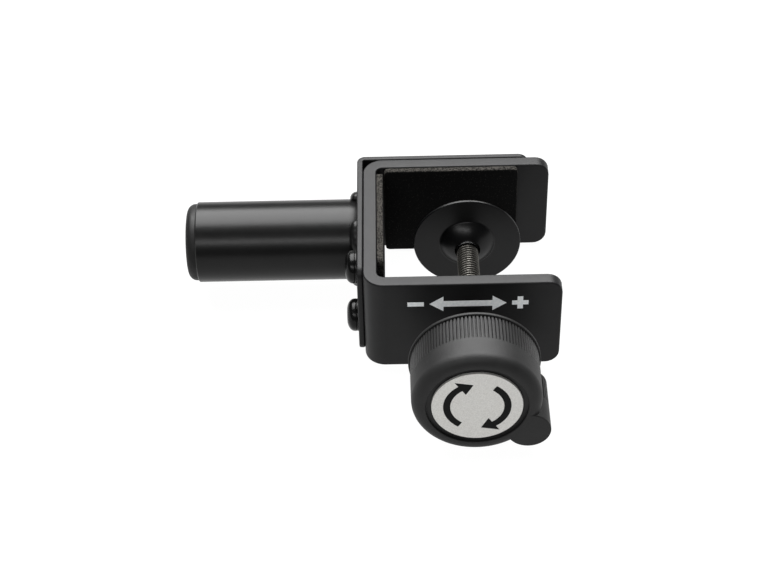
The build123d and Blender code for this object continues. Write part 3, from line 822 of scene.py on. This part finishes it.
WASHER_HOLE, WASHER_RADIUS = 3.2, 6.0
ring = [(WASHER_HOLE, screw_low.x, 0.1), (WASHER_RADIUS, screw_low.x, 0.3),
        (WASHER_RADIUS, screw_high.x, 0.15), (WASHER_HOLE, screw_high.x, 0.1)]
ring_line = rounded(ring, closed=True, steps=3)
washer = shade(add_piece("washer", turned(ring_line, 64, first, "X", closed=True)), 38)
for name, one, node in (("button_head_screws", screw, "mount_screws"),
                        ("screw_washers", washer, "mount_washers")):
    pair = grown(name, repeating, taken(one), Count=2, Step=(0, 0, 2 * mount_z * MM),
                 Finish=gloss_black)
    stands_for(pair, node, "clamp_frame")

# %% [markdown]
# ## Foam pads
# Two pads of closed-cell foam line the throat, cut from 2.5 mm sheet with a knife. Foam is never
# quite flat or straight: the face crowns a little between glued edges, and the cut wanders. Each
# pad starts as a slab, is cut into a fine grid, and its points are nudged by smooth noise, the cut
# edge more than the face. The face and the cut edge get different materials, as on the real foam.

# %% Foam pads
GRID, CUT_BAND, FACE_BAND, CROWN_BAND = 0.9, 0.4, 0.3, 4.0
FOAM_CORNER, FOAM_EDGE, FOAM_FILL, SKIN_FACES, SOFT_DEG = 1.5, 0.35, 0.95, 0.75, 50


def two_faced(piece, axis):
    """Skin on the faces that look along an axis, cut foam on the rest, and soft shading."""
    for face in piece.data.polygons:
        face.material_index = 0 if abs(getattr(face.normal, axis)) > SKIN_FACES else 1
    return shade(piece, SOFT_DEG, weighted=False)


def foam_pad(name, node, thick_axis):
    """A cut foam sheet in the box of a CAD pad, with its glued side left flat."""
    low, high = box_mm(node)
    size = high - low
    other = "y" if thick_axis == "x" else "x"
    thick, length, width = getattr(size, thick_axis), getattr(size, other), size.z
    form = slab(length, width, thick, FOAM_CORNER, FOAM_EDGE, rows=3, steps=6)
    cut_across(form, (1, 0, 0), [GRID * step for step in range(1, int(length / GRID))])
    cut_across(form, (0, 1, 0), [GRID * step - width / 2 for step in range(1, int(width / GRID))])
    bmesh.ops.remove_doubles(form, verts=form.verts, dist=1e-7)
    middle = Vector((length / 2, 0, 0))
    for vert in form.verts:
        spot = vert.co / MM
        wander = noise.noise(spot * 0.9 + Vector((3.1, 5.7, 1.3)))
        coarse = noise.noise(spot * 0.16 + Vector((7.9, 2.3, 4.1)))
        edge_gap = min(spot.x, length - spot.x, width / 2 - abs(spot.y))
        if edge_gap < CUT_BAND:
            inward = (middle - Vector((spot.x, spot.y, 0))).normalized()
            vert.co += inward * (0.04 + 0.06 * wander + 0.06 * coarse) * MM
        if spot.z > thick / 2 - FACE_BAND:
            sag = 0.10 * max(0.0, 1 - edge_gap / CROWN_BAND) ** 2
            vert.co.z -= (sag + 0.03 + 0.025 * wander) * MM
    if thick_axis == "y":
        lay = Matrix(((1, 0, 0), (0, 0, -1), (0, 1, 0)))
        start = Vector((low.x, (low.y + high.y) / 2, 0))
    else:
        lay = Matrix(((0, 0, 1), (1, 0, 0), (0, 1, 0)))
        start = Vector(((low.x + high.x) / 2, low.y, 0))
    piece = add_piece(name, shifted(mesh_of(form), start, lay.to_4x4()), foam_skin, foam_cut)
    stands_for(two_faced(piece, thick_axis), node, "clamp_frame")


foam_pad("web_foam", "web_pad", "x")
foam_pad("jaw_foam", "jaw_pad", "y")

# %% [markdown]
# The foot carries a round foam pad of the same sheet. It is turned, then its rim gets the row of
# small scallops that a serrated punch leaves.

# %% The foot's pad
SCALLOPS, SCALLOP_DEEP, RIM_BAND, POCKET_RADIUS = 72, 0.09, 0.5, 12.05
low, high = box_mm("pressure_pad")
pad_radius = (high.x - low.x) / 2
pocket_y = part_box("thrust_plate")[1].y / MM
disc = [(0, high.y - 0.06, 0), (pad_radius * 0.6, high.y - 0.03, 0), (pad_radius - 0.9, high.y, 0)]
disc += [(pad_radius, high.y - 0.05, 0.35), (pad_radius, low.y, 0.12), (POCKET_RADIUS, low.y, 0)]
disc += [(POCKET_RADIUS, pocket_y, 0), (0, pocket_y, 0)]
mesh = turned(rounded(disc), 360, (screw_x, 0, 0))
for vert in mesh.vertices:
    reach = Vector((vert.co.x / MM - screw_x, 0, vert.co.z / MM))
    if reach.length > pad_radius - RIM_BAND:
        angle = math.atan2(reach.x, reach.z)
        bite = SCALLOP_DEEP * (0.5 + 0.5 * math.cos(SCALLOPS * angle))
        bite += 0.04 + 0.05 * noise.noise(Vector((reach.x, vert.co.y / MM * 2, reach.z)) * 0.8)
        vert.co -= reach.normalized() * bite * MM
foot_foam = add_piece("foot_foam", mesh, foam_skin, foam_cut)
stands_for(two_faced(foot_foam, "y"), "pressure_pad", "foot")

# %% [markdown]
# ## The clamp screw
# An M8 screw with a rolled thread of 1.25 mm pitch. A thread is a rule rather than a shape: the
# radius depends on how far round and how far along you are. So a plain fine cylinder is enough,
# and the tree works out each point's phase along the helix and pushes it out to the crest or in
# to the root. The end is capped by a cone, as on the real screw's chamfer.

# %% The threading tree
threading, sizes = new_tree("rolled thread on a bar", Length="FLOAT", Radius="FLOAT",
                            Pitch="FLOAT", Depth="FLOAT", Rows="INT", Around="INT")
bar = add_node(threading, "GeometryNodeMeshCylinder",
               {"Vertices": sizes["Around"], "Side Segments": sizes["Rows"],
                "Radius": sizes["Radius"], "Depth": sizes["Length"]})
here = positions(threading)
where = add_node(threading, "ShaderNodeSeparateXYZ", {"Vector": here})
value = partial(maths, threading)
turns = value("DIVIDE", value("ARCTAN2", where.outputs["Y"], where.outputs["X"]), math.tau)
pitches = value("SUBTRACT", value("DIVIDE", where.outputs["Z"], sizes["Pitch"]), turns)
# A hundred pitches more keep the phase positive. The flank then rises between the flats that the
# root and the crest have, each given as a share of half a pitch.
phase = value("FRACT", value("ADD", pitches, 100.0))
ridge = value("ABSOLUTE", value("SUBTRACT", value("MULTIPLY", phase, 2.0), 1.0))
flank = add_node(threading, "ShaderNodeMapRange",
                 {"Value": ridge, "From Min": 0.24, "From Max": 0.84},
                 interpolation_type="SMOOTHSTEP").outputs["Result"]
cut = value("MULTIPLY", value("SUBTRACT", 1.0, flank), sizes["Depth"])
to_end = value("SUBTRACT", value("MULTIPLY", sizes["Length"], 0.5), where.outputs["Z"])
cone = value("ADD", value("SUBTRACT", sizes["Radius"], 0.62 * MM), to_end)
reach = value("MINIMUM", value("SUBTRACT", sizes["Radius"], cut), cone)
thinner = value("DIVIDE", reach, sizes["Radius"])
shrink = add_node(threading, "ShaderNodeCombineXYZ", {"X": thinner, "Y": thinner, "Z": 1.0})
rolled = add_node(threading, "GeometryNodeSetPosition",
                  {"Geometry": bar.outputs["Mesh"],
                   "Position": vectors(threading, "MULTIPLY", here, shrink.outputs["Vector"])})
crest = add_node(threading, "GeometryNodeStoreNamedAttribute",
                 {"Geometry": rolled.outputs["Geometry"], "Name": "crest", "Value": flank},
                 data_type="FLOAT", domain="POINT")
end_tree(threading, crest.outputs["Geometry"], sizes["Finish"])

# %% The screw with its head and neck
PITCH, THREAD_DEEP, SCREW_RADIUS, NECK_RADIUS = 1.25, 0.66, 4.0, 2.75
ROWS_PER_PITCH, HEAD_LONG, OVERLAP = 10, 5.3, 0.4
head_y, tip_y = [corner.y for corner in box_mm("clamp_screw")]
neck_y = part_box("neck_washer")[0].y / MM
shank_y = head_y + HEAD_LONG
length = neck_y - shank_y
thread = grown("hand_screw", threading, bpy.data.meshes.new("start"), Length=length * MM,
               Radius=SCREW_RADIUS * MM, Pitch=PITCH * MM, Depth=THREAD_DEEP * MM,
               Rows=int(length / PITCH * ROWS_PER_PITCH), Around=44, Finish=black_oxide)
shifted(thread.data, (screw_x, shank_y + length / 2, 0), Matrix.Rotation(-math.pi / 2, 4, "X"))
neck = [(0, neck_y - 0.5, 0), (NECK_RADIUS, neck_y - 0.5, 0), (NECK_RADIUS, tip_y, 0.2),
        (0, tip_y, 0)]
neck_mesh = turned(rounded(neck), 40, (screw_x, 0, 0))
head_radius = NUT_FLATS / math.sqrt(3)
head_mesh = shifted(turned([(0, 0), (1, 0), (1, 1), (0, 1)], 6, (0, 0, 0)), (screw_x, head_y, 0),
                    Matrix.Diagonal((head_radius, HEAD_LONG + OVERLAP, head_radius, 1)))
form = bmesh.new()
for mesh in (thread.data, neck_mesh, head_mesh):
    form.from_mesh(mesh)
form.to_mesh(thread.data)
form.free()
stands_for(shade(thread, 44, weighted=False), "clamp_screw", "spindle")

# %% [markdown]
# ## The knob
# The knob is a moulded cup, a little narrower at the front, with a lobe on one side to push with
# a thumb. Its rear half is ringed by fine grip grooves, one about every 1.3 mm. The cup and the
# lobe are turned, a tree presses the grooves into each, and a boolean joins them, which leaves
# the crisp line where the lobe runs into the rounded front edge.

# %% The grooving tree
grooving, sizes = new_tree("grip grooves round a band", Centre="VECTOR", Grooves="FLOAT",
                           Depth="FLOAT", Band_start="FLOAT", Outer_radius="FLOAT")
vector, value = partial(vectors, grooving), partial(maths, grooving)
here = vector("SUBTRACT", positions(grooving), sizes["Centre"])
where = add_node(grooving, "ShaderNodeSeparateXYZ", {"Vector": here})
angle = value("ARCTAN2", where.outputs["X"], where.outputs["Z"])
wave = value("COSINE", value("MULTIPLY", angle, sizes["Grooves"]))
groove = add_node(grooving, "ShaderNodeMapRange",
                  {"Value": wave, "From Min": 0.15, "From Max": 0.8},
                  interpolation_type="SMOOTHSTEP").outputs["Result"]
outwards = add_node(grooving, "ShaderNodeCombineXYZ",
                    {"X": where.outputs["X"], "Z": where.outputs["Z"]}).outputs["Vector"]
# Only points within 0.12 mm of the outer wall are pressed, so the bore and the pocket stay round.
on_wall = value("GREATER_THAN", vector("LENGTH", outwards),
                value("SUBTRACT", sizes["Outer_radius"], 0.12 * MM))
in_band = value("GREATER_THAN", where.outputs["Y"], sizes["Band_start"])
full = value("MULTIPLY", groove, sizes["Depth"])
deep = value("MULTIPLY", value("MULTIPLY", on_wall, in_band), full)
back = vector("SCALE", vector("NORMALIZE", outwards), Scale=value("MULTIPLY", deep, -1.0))
pressed = add_node(grooving, "GeometryNodeSetPosition",
                   {"Geometry": sizes["Start"], "Offset": back})
end_tree(grooving, pressed.outputs["Geometry"], sizes["Finish"])

# %% The cup and its lobe
BAND_RADIUS, FRONT_RADIUS, FRONT_ROUND, BAND_LONG, GROOVE_DEEP = 22.5, 22.4, 3.8, 10.6, 0.6
CUP_GROOVES, LOBE_GROOVES, STEPS_PER_GROOVE = 108, 37, 8
LOBE_RADIUS, LOBE_FROM_AXIS, LOBE_DEG = 7.7, 21.8, -34.7
RING_INNER, RING_OUTER, RING_DEEP = 13.8, 17.6, 1.2
SKIRT_INNER, HUB_RADIUS, FACE_WALL, NUT_DEEP = 19.5, 10.5, 4.4, 4.0
(_, face_y, _), (_, rear_y, _) = box_mm("knob_body")
band_y = rear_y - BAND_LONG
seat_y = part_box("knob_inlay")[1].y / MM
pocket = head_radius + 0.2
bore = SCREW_RADIUS + 0.06
cup = [(pocket, seat_y, 0), (RING_INNER, seat_y, 0), (RING_INNER, face_y + RING_DEEP, 0)]
cup += [(RING_OUTER, face_y + RING_DEEP, 0.15), (RING_OUTER, face_y, 0.3)]
cup += [(FRONT_RADIUS, face_y, FRONT_ROUND), (BAND_RADIUS, band_y - 0.15, 0)]
cup += [(BAND_RADIUS, band_y + 0.1, 0), (BAND_RADIUS, band_y + 0.35, 0), (BAND_RADIUS, rear_y, 0)]
cup += [(SKIRT_INNER, rear_y, 0), (SKIRT_INNER, face_y + FACE_WALL, 0)]
cup += [(HUB_RADIUS, face_y + FACE_WALL, 0), (HUB_RADIUS, rear_y, 0)]
cup += [(pocket, rear_y, 0), (pocket, rear_y - NUT_DEEP, 0), (bore, rear_y - NUT_DEEP, 0)]
cup += [(bore, shank_y, 0), (pocket, shank_y, 0)]


def grooved(name, line, radius, grooves, centre, closed=False):
    """A turned wall with grip grooves pressed into its band."""
    mesh = turned(line, grooves * STEPS_PER_GROOVE, centre, closed=closed)
    return grown(name, grooving, mesh, Centre=Vector(centre) * MM, Grooves=float(grooves),
                 Depth=GROOVE_DEEP * MM, Band_start=(band_y + 0.2) * MM,
                 Outer_radius=radius * MM, Finish=moulded_black)


axis = (screw_x, 0, 0)
cup_line = rounded(cup, closed=True, steps=8)
knob = grooved("knob_shell", cup_line, BAND_RADIUS, CUP_GROOVES, axis, closed=True)
lean = math.radians(LOBE_DEG)
lobe_axis = (screw_x + LOBE_FROM_AXIS * math.cos(lean), 0, LOBE_FROM_AXIS * math.sin(lean))
lobe = [(0, face_y, 0), (LOBE_RADIUS, face_y, 0.45), (LOBE_RADIUS, band_y + 0.1, 0)]
lobe += [(LOBE_RADIUS, band_y + 0.35, 0), (LOBE_RADIUS, rear_y, 0), (0, rear_y, 0)]
lobe_piece = grooved("lobe", rounded(lobe), LOBE_RADIUS, LOBE_GROOVES, lobe_axis)
clear_radius, clear_y = RING_OUTER + 0.3, face_y + RING_DEEP + 0.15
clear = [(0, face_y - 1, 0), (clear_radius, face_y - 1, 0), (clear_radius, clear_y, 0),
         (0, clear_y, 0)]
combined(lobe_piece, turned(rounded(clear), 288, axis), "DIFFERENCE")
combined(knob, taken(lobe_piece), "UNION")
stands_for(shade(evened(knob), 32), "knob_body", "spindle")

# %% The knob's back plate
FLANGE_RADIUS, FLANGE_BORE = 23.1, 4.1
(_, low_y, _), (_, high_y, _) = box_mm("knob_back_plate")
flange = [(FLANGE_BORE, low_y, 0), (FLANGE_RADIUS, low_y, 0.35),
          (FLANGE_RADIUS, high_y, 0.6), (FLANGE_BORE, high_y, 0)]
flange_mesh = turned(rounded(flange, closed=True), 200, axis, closed=True)
back_plate = add_piece("knob_back", flange_mesh, moulded_black)
ear = [(0, low_y, 0), (LOBE_RADIUS, low_y, 0.35), (LOBE_RADIUS, high_y, 0.6), (0, high_y, 0)]
combined(back_plate, turned(rounded(ear), 96, lobe_axis), "UNION")
stands_for(shade(back_plate, 32), "knob_back_plate", "spindle")

# %% [markdown]
# ## The inlay and the printed marks
# The knob's face holds a satin silver disc. Its marks are plain ones of this lesson's own: two
# curved arrows that say which way the knob turns to tighten. The bracket's near jaw has a matching
# pictogram, a double arrow between a minus and a plus. Printed ink has real thickness, so each
# mark is a very thin solid rather than a colour in a material.

# %% Inlay
low, high = box_mm("knob_inlay")
inlay_radius = (high.x - low.x) / 2
inlay = [(0, low.y, 0), (inlay_radius, low.y, 0.2), (inlay_radius, high.y, 0), (0, high.y, 0)]
inlay_piece = add_piece("silver_inlay", turned(rounded(inlay), 160, axis), satin_silver)
stands_for(shade(inlay_piece), "knob_inlay", "spindle")


# %% Printed marks
def printed(outlines, thick):
    """Thin solids from flat outlines, lists of (x, z) in mm that face towards -Y at y 0."""
    form = bmesh.new()
    for outline in outlines:
        front = [form.verts.new(Vector((x, -thick, z)) * MM) for x, z in outline]
        rear = [form.verts.new(Vector((x, 0.02, z)) * MM) for x, z in outline]
        form.faces.new(front)
        form.faces.new(list(reversed(rear)))
        for index in range(len(outline)):
            following = (index + 1) % len(outline)
            form.faces.new((front[index], rear[index], rear[following], front[following]))
    form.normal_update()
    bmesh.ops.triangulate(form, faces=[face for face in form.faces if len(face.verts) > 4])
    return mesh_of(form)


INK_THICK = 0.05
ARROW_INNER, ARROW_OUTER, ARROW_FROM, ARROW_SWEEP, ARROW_STEPS = 9.2, 11.6, 34, 112.0, 24
TIP_SWEEP, TIP_WIDE = 26.0, 3.4


def on_circle(reach, degrees):
    """A point on the knob's face, by its distance from the axis and its bearing."""
    bearing = math.radians(degrees)
    return reach * math.sin(bearing), reach * math.cos(bearing)


middle, tip_from = (ARROW_INNER + ARROW_OUTER) / 2, ARROW_FROM + ARROW_SWEEP
steps = [ARROW_FROM + ARROW_SWEEP * step / ARROW_STEPS for step in range(ARROW_STEPS + 1)]
arrow = [on_circle(ARROW_OUTER, degrees) for degrees in steps]
arrow += [on_circle(middle + TIP_WIDE, tip_from), on_circle(middle, tip_from + TIP_SWEEP),
          on_circle(middle - TIP_WIDE, tip_from)]
arrow += [on_circle(ARROW_INNER, degrees) for degrees in reversed(steps)]
arrows = grown("turn_arrows", repeating, printed([arrow], INK_THICK), Count=2,
               Turn=(0, math.pi, 0), Finish=black_ink)
shifted(arrows.data, (screw_x, low.y, 0))
tell(arrows)
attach(arrows, "spindle")

MARK_X, MARK_Z, MARK_HALF, BAR_HALF, TIP_LONG, TIP_HALF = 42.0, 10.4, 13.6, 1.35, 5.0, 3.5
neck_x = MARK_HALF - TIP_LONG
half_arrow = [(neck_x, -BAR_HALF), (neck_x, -TIP_HALF), (MARK_HALF, 0), (neck_x, TIP_HALF),
              (neck_x, BAR_HALF)]
double = half_arrow + [(-x, z) for x, z in reversed(half_arrow)]
SIGN_LONG, SIGN_HALF, SIGN_FROM = 2.9, 1.0, 18.4
near, far = SIGN_HALF, SIGN_LONG
minus = [(-far, -near), (far, -near), (far, near), (-far, near)]
arm = [(near, -far), (near, -near), (far, -near), (far, near), (near, near), (near, far)]
plus = arm + [(-x, -z) for x, z in arm]
marks = [[(x + from_middle, z + MARK_Z) for x, z in outline] for outline, from_middle in
         ((double, MARK_X), (minus, MARK_X - SIGN_FROM), (plus, MARK_X + SIGN_FROM))]
jaw_marks = add_piece("jaw_print", printed(marks, INK_THICK), white_ink)
shifted(jaw_marks.data, (0, box_mm("clamp_bracket")[0].y, 0))
tell(jaw_marks)
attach(jaw_marks, "clamp_frame")

# %% [markdown]
# ## Finishes for the CAD parts that stay
# The tube, its plug, the pressed disc and the small swivel parts already have their final shape
# in the CAD. They keep their meshes and only take their finish.

# %% Dress the CAD parts
KEPT = {"spigot_tube": tube_coat, "tube_end_plug": waxy_black, "pressure_disc": disc_coat,
        "thrust_plate": zinc_steel, "ball_seat": black_nylon, "screw_tip": zinc_steel,
        "neck_washer": black_oxide, "screw_nut": zinc_steel, "knob_lock_nut": zinc_steel}
for name, finish in KEPT.items():
    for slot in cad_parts[name].material_slots:
        slot.material = finish
print("kept from CAD:", len(KEPT))

# %% Sizes, then finish
model_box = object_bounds()
sizes = {"cad": [list(corner) for corner in cad_box], "model": [list(corner) for corner in model_box]}
for label, (low, high) in sizes.items():
    print(label, "box in mm:", [round((b - a) / MM, 2) for a, b in zip(low, high)])
